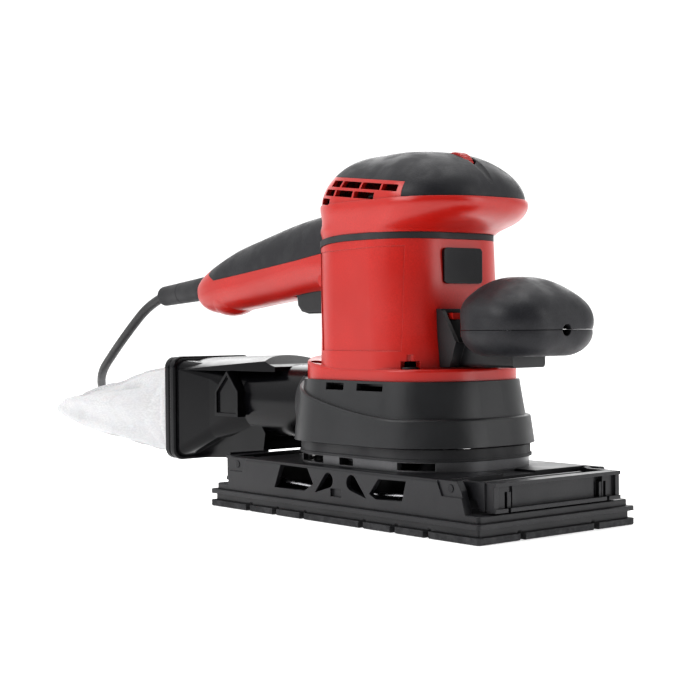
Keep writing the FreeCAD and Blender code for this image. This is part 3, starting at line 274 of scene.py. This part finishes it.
def soft_touch():
    """Soft-touch grip: fine leather-like cells over dark grey rubber."""
    colour = (0.014, 0.014, 0.017)
    look = Look("soft_touch", 0.5, sheen=0.03, specular=0.32)
    look.shader.inputs["Sheen Roughness"].default_value = 0.5
    look.edges(0.0006)
    cloudy = look.mixed(look.spread(look.noise(0.03, 4), 0, 1), scaled(colour, 0.85), scaled(colour, 1.15))
    look.colour(look.mixed(look.spread(look.cells(0.0007), 0, 1, 0.1, 0.6), cloudy, scaled(colour, 0.8)))
    look.rough(look.spread(look.noise(0.012, 4), 0.42, 0.60))
    look.bump(look.cells(0.0007), 0.00005)
    look.bump(look.noise(0.0003, 1), 0.00001)
    return look.material


def metal(name, colour, roughness, brush=(1, 1, 1), stain=0.75):
    """Drawn, turned or cast metal: streaks along the brush direction, and dull patches."""
    look = Look(name, roughness, metallic=1.0)
    look.edges(0.0003)
    streaks = look.noise(0.0008, 3, brush)
    patches = look.mixed(look.spread(look.noise(0.01, 4), 0, 1), scaled(colour, stain), colour)
    look.colour(look.mixed(look.spread(streaks, 0, 1), scaled(colour, 0.86), patches))
    look.rough(look.spread(look.noise(0.003, 3, brush), roughness * 0.7, roughness * 1.3))
    look.bump(streaks, 0.00001)
    return look.material


def cellular():
    """Closed-cell rubber sole with open pores at its cut faces, the pits of the pores darkened with painted
    shade.
    """
    colour = (0.016, 0.016, 0.018)
    look = Look("sole_rubber", 0.75)
    look.edges(0.0004)
    pores = look.cells(0.0011)
    cloudy = look.mixed(look.spread(look.noise(0.02, 4), 0, 1), scaled(colour, 0.8), scaled(colour, 1.3))
    # The pore pits are made darker than the rubber: painted shade in the pores.
    look.colour(look.mixed(look.spread(pores, 0, 1, 0.05, 0.35), scaled(colour, 0.45), cloudy))
    look.rough(look.spread(look.noise(0.004, 3), 0.62, 0.85))
    look.bump(pores, 0.00012)
    return look.material


def laminated():
    """A stack of thin electrical sheets."""
    look = Look("laminations", 0.45, metallic=1.0)
    sheets = look.noise(0.02, 2, (0.05, 0.05, 40))
    look.colour(look.mixed(look.spread(sheets, 0, 1), (0.16, 0.16, 0.17), (0.42, 0.42, 0.44)))
    look.rough(look.spread(look.noise(0.006, 3), 0.35, 0.6))
    look.bump(sheets, 0.00008)
    return look.material


def wound():
    """Enamelled winding wire, laid side by side."""
    look = Look("winding_wire", 0.3, metallic=0.8, coat=0.6)
    wires = look.noise(0.01, 1, (0.3, 0.3, 14))
    look.colour(look.mixed(look.spread(wires, 0, 1), (0.30, 0.10, 0.035), (0.72, 0.31, 0.13)))
    look.rough(look.spread(look.noise(0.005, 3), 0.22, 0.42))
    look.bump(wires, 0.0002)
    return look.material


def fleece():
    """White filter fleece: laid fibres, faint needle rows and a soft sheen."""
    look = Look("fleece", 0.9, specular=0.15, sheen=0.12)
    look.shader.inputs["Sheen Roughness"].default_value = 0.6
    look.shader.inputs["Subsurface Weight"].default_value = 0.06
    look.shader.inputs["Subsurface Scale"].default_value = 0.004
    fibres = look.noise(0.0009, 4, (0.35, 1, 1))
    cross = look.noise(0.0008, 4, (1, 0.4, 0.4))
    cloudy = look.mixed(look.spread(look.noise(0.02, 4), 0, 1), (0.55, 0.55, 0.56), (0.63, 0.63, 0.63))
    look.colour(look.mixed(look.spread(fibres, 0, 0.6), (0.48, 0.48, 0.49), cloudy))
    look.rough(look.spread(look.noise(0.01, 3), 0.82, 0.96))
    look.bump(fibres, 0.00012, 0.8)
    look.bump(cross, 0.00010, 0.6)
    return look.material


def make_looks():
    """One material for each slot of the record, and the bag's thread."""
    looks = {
        "red_plastic": moulded("red_plastic", (0.42, 0.013, 0.008), 0.32, grain=0.0005, depth=0.000014,
                               wear=1.0),
        "soft_grip": soft_touch(),
        "dark_plastic": moulded("dark_plastic", (0.016, 0.0165, 0.018), 0.38, grain=0.0005,
                                depth=0.00002, wear=1.9, specular=0.4),
        "black_plastic": moulded("black_plastic", (0.0035, 0.0035, 0.0045), 0.20, grain=0.0009,
                                 depth=0.000005, wear=2.5, specular=0.18),
        "pad_grey": moulded("pad_grey", (0.014, 0.014, 0.016), 0.36, grain=0.0007, depth=0.00002,
                            wear=2.6, specular=0.35),
        "sole_foam": cellular(),
        "satin_collar": moulded("satin_collar", (0.10, 0.10, 0.104), 0.35, grain=0.0005, depth=0.00001,
                                wear=1.8, metallic=0.7),
        "black_rubber": moulded("black_rubber", (0.014, 0.014, 0.016), 0.60, grain=0.0006, depth=0.00003,
                                wear=2.0),
        "cord_sheath": moulded("cord_sheath", (0.010, 0.010, 0.011), 0.48, grain=0.0010, depth=0.00002,
                               wear=1.6),
        "dark_steel": moulded("dark_steel", (0.02, 0.02, 0.022), 0.34, grain=0.0004, depth=0.00001,
                              wear=2.0, metallic=0.6),
        "bright_steel": metal("bright_steel", (0.62, 0.62, 0.64), 0.24, (1, 0.15, 1)),
        "lamination": laminated(),
        "copper": wound(),
        "carbon": moulded("carbon", (0.03, 0.03, 0.03), 0.55, grain=0.0004, depth=0.00003),
        "name_gloss": moulded("name_gloss", (0.006, 0.006, 0.008), 0.09, grain=0.0012, depth=0.000002,
                              wear=1.6, coat=0.35, specular=0.3),
        "fleece": fleece(),
        "thread": moulded("thread", (0.66, 0.66, 0.68), 0.7, grain=0.0003, depth=0.00004, wear=1.1,
                          sheen=0.3),
    }
    return looks


def dress_nodes(looks):
    slots = {part["node"]: part["material_slot"] for part in frame["record"]["subparts"]}
    for name, node in NODES.items():
        node.data.materials.clear()
        node.data.materials.append(looks[slots[name]])


# ---------------------------------------------------------------- dust bag

BAG_LOW, BAG_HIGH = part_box("dust_bag")
BAG_AXIS_Z = (BAG_LOW.z + BAG_HIGH.z) / 2
BAG_LONG = BAG_HIGH.x - BAG_LOW.x
BAG_STEPS = 24
BAG_CAP = 0.006                       # no point of the cloth moves further than this
VOXEL = 0.0032
HEM = 0.010
HEM_THICK = 0.0009
CRUMPLE = (38, 0.0012)                # how close together the crumples lie, and how deep they are
WRINKLE = (120, 0.0003)
NEAR, FAR, TOP, BOTTOM = math.pi, 0.0, math.pi / 2, 3 * math.pi / 2
# Each fold: where it starts round the bag, how it leans towards the tip, its depth (negative for a ridge)
# and its width.
FOLDS = (
    (NEAR - 0.10, 0.10, -0.0048, 0.26), (NEAR + 0.75, -0.55, 0.0042, 0.24),
    (NEAR - 0.80, 0.45, 0.0050, 0.28), (NEAR + 0.30, 0.90, 0.0024, 0.12),
    (NEAR - 0.45, -0.70, 0.0026, 0.14), (TOP + 0.35, 0.30, 0.0022, 0.16),
    (FAR + 0.10, -0.10, -0.0030, 0.30), (FAR + 0.80, -0.40, 0.0030, 0.28),
    (FAR - 0.80, 0.50, 0.0032, 0.28), (BOTTOM - 0.35, -0.30, 0.0020, 0.18),
    (BOTTOM + 0.40, 0.35, 0.0022, 0.18), (FAR - 0.30, 0.80, 0.0016, 0.13))


def link_mesh(name, mesh, material, body):
    piece = bpy.data.objects.new(name, mesh)
    bpy.context.scene.collection.objects.link(piece)
    mesh.materials.clear()
    mesh.materials.append(material)
    for polygon in mesh.polygons:
        polygon.use_smooth = True
    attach(piece, body)


def apply_modifiers(obj):
    bpy.context.view_layer.update()
    evaluated = obj.evaluated_get(bpy.context.evaluated_depsgraph_get())
    mesh = bpy.data.meshes.new_from_object(evaluated)
    obj.modifiers.clear()
    obj.data = mesh


def bag_start():
    """A copy of the bag's solid as an even mesh, drawn in a little so that the cloth has room to swell."""
    bag = bpy.data.objects.new("bag_cloth", NODES["dust_bag"].data.copy())
    bpy.context.scene.collection.objects.link(bag)
    remesh = bag.modifiers.new("even", "REMESH")
    remesh.mode = "VOXEL"
    remesh.voxel_size = VOXEL
    apply_modifiers(bag)
    for vertex in bag.data.vertices:
        along = (BAG_HIGH.x - vertex.co.x) / BAG_LONG
        inward = 0.99 - 0.05 * min(1.0, along * 12)
        vertex.co.y *= inward
        vertex.co.z = BAG_AXIS_Z + (vertex.co.z - BAG_AXIS_Z) * inward
    return bag


def blow_up(bag):
    """Cloth held at its neck, filled with a little air and hanging under its own weight."""
    rest = [vertex.co.copy() for vertex in bag.data.vertices]
    neck = bag.vertex_groups.new(name="neck")
    held = [v.index for v in bag.data.vertices if v.co.x > BAG_HIGH.x - HEM]
    neck.add(held, 1.0, "REPLACE")
    cloth = bag.modifiers.new("cloth", "CLOTH")
    cloth.settings.quality = 6
    cloth.settings.mass = 0.12
    cloth.settings.tension_stiffness = 12
    cloth.settings.compression_stiffness = 12
    cloth.settings.bending_stiffness = 0.4
    cloth.settings.use_pressure = True
    cloth.settings.uniform_pressure_force = 2.2
    cloth.settings.vertex_group_mass = "neck"
    cloth.settings.effector_weights.gravity = 0.25
    scene = bpy.context.scene
    for step in range(1, BAG_STEPS + 1):
        scene.frame_set(step)
    apply_modifiers(bag)
    scene.frame_set(1)
    for vertex, start in zip(bag.data.vertices, rest):
        move = vertex.co - start
        if move.length > BAG_CAP:
            vertex.co = start + move * (BAG_CAP / move.length)


def crease(bag):
    """Long soft folds from neck to tip, small crumples between them, and the turned hem at the neck."""
    bag.data.update()
    normals = [vertex.normal.copy() for vertex in bag.data.vertices]
    for vertex, normal in zip(bag.data.vertices, normals):
        along = (BAG_HIGH.x - vertex.co.x) / BAG_LONG
        around = math.atan2(vertex.co.z - BAG_AXIS_Z, vertex.co.y) % (2 * math.pi)
        fade = min(1.0, max(0.0, along - HEM / BAG_LONG) * 5) * min(1.0, max(0.0, 1.0 - along) * 6)
        depth = 0.0
        for place, lean, deep, wide in FOLDS:
            off = (around - place - lean * along + math.pi) % (2 * math.pi) - math.pi
            swell = 0.35 + 0.65 * math.sin(math.pi * min(1.0, along))
            depth += deep * math.exp(-(off / wide) ** 2) * swell
        crumple = noise.fractal(vertex.co * CRUMPLE[0], 0.8, 2.1, 3) * CRUMPLE[1]
        fine = noise.fractal(vertex.co * WRINKLE[0], 0.9, 2.0, 2) * WRINKLE[1]
        hem = HEM_THICK * min(1.0, max(0.0, HEM - along * BAG_LONG) / 0.002)
        vertex.co += normal * ((crumple + fine - depth) * fade + hem)


def bag_outline(bag):
    """Points round the middle of the bag: along its top from neck to tip, and back along its bottom."""
    steps = 44
    tops, bottoms = [], []
    for step in range(steps + 1):
        x = BAG_HIGH.x - 0.002 - (BAG_LONG - 0.006) * step / steps
        heights = [v.co.z for v in bag.data.vertices if abs(v.co.x - x) < 0.003 and abs(v.co.y) < 0.004]
        if heights:
            tops.append(Vector((x, 0, max(heights))))
            bottoms.append(Vector((x, 0, min(heights))))
    tip = (tops[-1] + bottoms[-1]) / 2 - Vector((0.004, 0, 0))
    return tops + [tip] + bottoms[::-1]


def outward(path, index):
    """Direction away from the bag's middle, square to the path."""
    along = path[min(index + 1, len(path) - 1)] - path[max(index - 1, 0)]
    return Vector((along.z, 0, -along.x)).normalized() * -1.0


def make_seam(bag, material):
    """The narrow standing edge that joins the side panels round top, tip and bottom; gives its path."""
    path = bag_outline(bag)
    mesh = bmesh.new()
    rows = []
    for index, place in enumerate(path):
        out = outward(path, index)
        sway = noise.noise(place * 55) * 0.0009
        row = []
        for reach, half in ((-0.0016, 0.0008), (0.0010, 0.0007), (0.0024, 0.0005)):
            for side in (-1, 1):
                lean = sway * max(0.0, reach) / 0.0024
                row.append(mesh.verts.new(place + out * reach + Vector((0, side * half + lean, 0))))
        rows.append(row)
    loop = (0, 2, 4, 5, 3, 1)
    for a, b in zip(rows, rows[1:]):
        for i, j in zip(loop, loop[1:] + loop[:1]):
            mesh.faces.new((a[i], a[j], b[j], b[i]))
    for row in (rows[0], rows[-1]):
        mesh.faces.new([row[i] for i in loop])
    bmesh.ops.recalc_face_normals(mesh, faces=mesh.faces)
    made = bpy.data.meshes.new("bag_seam")
    mesh.to_mesh(made)
    mesh.free()
    link_mesh("bag_seam", made, material, "dust_collector")
    return path


def make_stitches(path, material):
    """A row of thread stitches along each side of the seam."""
    mesh = bmesh.new()
    pitch, long, thick = 0.0042, 0.0028, 0.00035
    walked = 0.0
    for index in range(1, len(path)):
        start, end = path[index - 1], path[index]
        walked += (end - start).length
        if walked < pitch:
            continue
        walked = 0.0
        along = (end - start).normalized()
        place = end + outward(path, index) * 0.0004
        for side in (-1, 1):
            middle = place + Vector((0, side * 0.00085, 0))
            turn = Vector((1, 0, 0)).rotation_difference(along).to_matrix().to_4x4()
            shape = Matrix.Translation(middle) @ turn @ Matrix.Diagonal((long / 2, thick, thick, 1))
            bmesh.ops.create_icosphere(mesh, subdivisions=2, radius=1.0, matrix=shape)
    made = bpy.data.meshes.new("bag_stitches")
    mesh.to_mesh(made)
    mesh.free()
    link_mesh("bag_stitches", made, material, "dust_collector")


def make_bag(looks):
    bag = bag_start()
    blow_up(bag)
    crease(bag)
    smooth = bag.modifiers.new("smooth", "SUBSURF")
    smooth.levels = 1
    smooth.render_levels = 1
    apply_modifiers(bag)
    for polygon in bag.data.polygons:
        polygon.use_smooth = True
    bag.data.materials.clear()
    bag.data.materials.append(looks["fleece"])
    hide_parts("dust_bag")
    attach(bag, "dust_collector")
    path = make_seam(bag, looks["fleece"])
    make_stitches(path, looks["thread"])


# ---------------------------------------------------------------- floor and light

FLOOR_HALF = 25
FLOOR_DROP = 0.0002
FLOOR_GLOW = 0.45
SURROUND_BEHIND, SURROUND_FRONT = 1.05, 0.14


def make_floor():
    """Plain pale floor just under the pad, with a little light of its own so that it stays white."""
    look = Look("floor", 0.6)
    look.colour(look.mixed(look.spread(look.noise(0.4, 3), 0, 1), (0.90, 0.90, 0.90), (0.93, 0.93, 0.93)))
    look.shader.inputs["Emission Color"].default_value = (1, 1, 1, 1)
    look.shader.inputs["Emission Strength"].default_value = FLOOR_GLOW
    mesh = bpy.data.meshes.new("floor")
    corners = [(x * FLOOR_HALF, y * FLOOR_HALF, 0) for x, y in ((-1, -1), (1, -1), (1, 1), (-1, 1))]
    mesh.from_pydata(corners, [], [(0, 1, 2, 3)])
    mesh.materials.append(look.material)
    floor = bpy.data.objects.new("floor", mesh)
    floor.location.z = -FLOOR_DROP
    bpy.context.scene.collection.objects.link(floor)


def softbox(name, place, width, height, power):
    """A soft rectangular lamp that faces the object."""
    light = bpy.data.lights.new(name, "AREA")
    light.shape = "RECTANGLE"
    light.size = width
    light.size_y = height
    light.energy = power
    lamp = bpy.data.objects.new(name, light)
    lamp.location = place
    lamp.rotation_mode = "QUATERNION"
    lamp.rotation_quaternion = (LOOK_AT - place).to_track_quat("-Z", "Y")
    bpy.context.scene.collection.objects.link(lamp)


def make_light():
    """Four soft lamps, and a surround that is bright behind the object and dim on the camera's side."""
    softbox("key", from_camera(-1.10, 0.75, 0.55), width=0.9, height=0.9, power=10.5)
    softbox("fill", from_camera(1.15, 0.45, 0.50), width=0.6, height=1.1, power=5.5)
    softbox("top", from_camera(-0.10, 1.40, -0.10), width=1.3, height=0.9, power=8.5)
    softbox("rim", from_camera(0.2, 0.7, -1.4), width=1.4, height=0.7, power=5)
    world = bpy.data.worlds.new("studio")
    bpy.context.scene.world = world
    world.use_nodes = True
    tree = world.node_tree
    place = tree.nodes.new("ShaderNodeTexCoord")
    toward = tree.nodes.new("ShaderNodeVectorMath")
    toward.operation = "DOT_PRODUCT"
    toward.inputs[1].default_value = TO_CAMERA
    tree.links.new(place.outputs["Generated"], toward.inputs[0])
    ramp = tree.nodes.new("ShaderNodeMapRange")
    ramp.inputs["From Min"].default_value = -0.6
    ramp.inputs["From Max"].default_value = 0.7
    ramp.inputs["To Min"].default_value = SURROUND_BEHIND
    ramp.inputs["To Max"].default_value = SURROUND_FRONT
    tree.links.new(toward.outputs["Value"], ramp.inputs["Value"])
    tree.nodes["Background"].inputs["Color"].default_value = (1, 1, 1, 1)
    tree.links.new(ramp.outputs["Result"], tree.nodes["Background"].inputs["Strength"])
    bpy.context.scene.view_settings.view_transform = "Standard"
    bpy.context.scene.view_settings.look = "Medium High Contrast"


# ---------------------------------------------------------------- the scene

make_camera()
looks = make_looks()
make_cord(looks["cord_sheath"])
dress_nodes(looks)
make_bag(looks)
make_floor()
make_light()
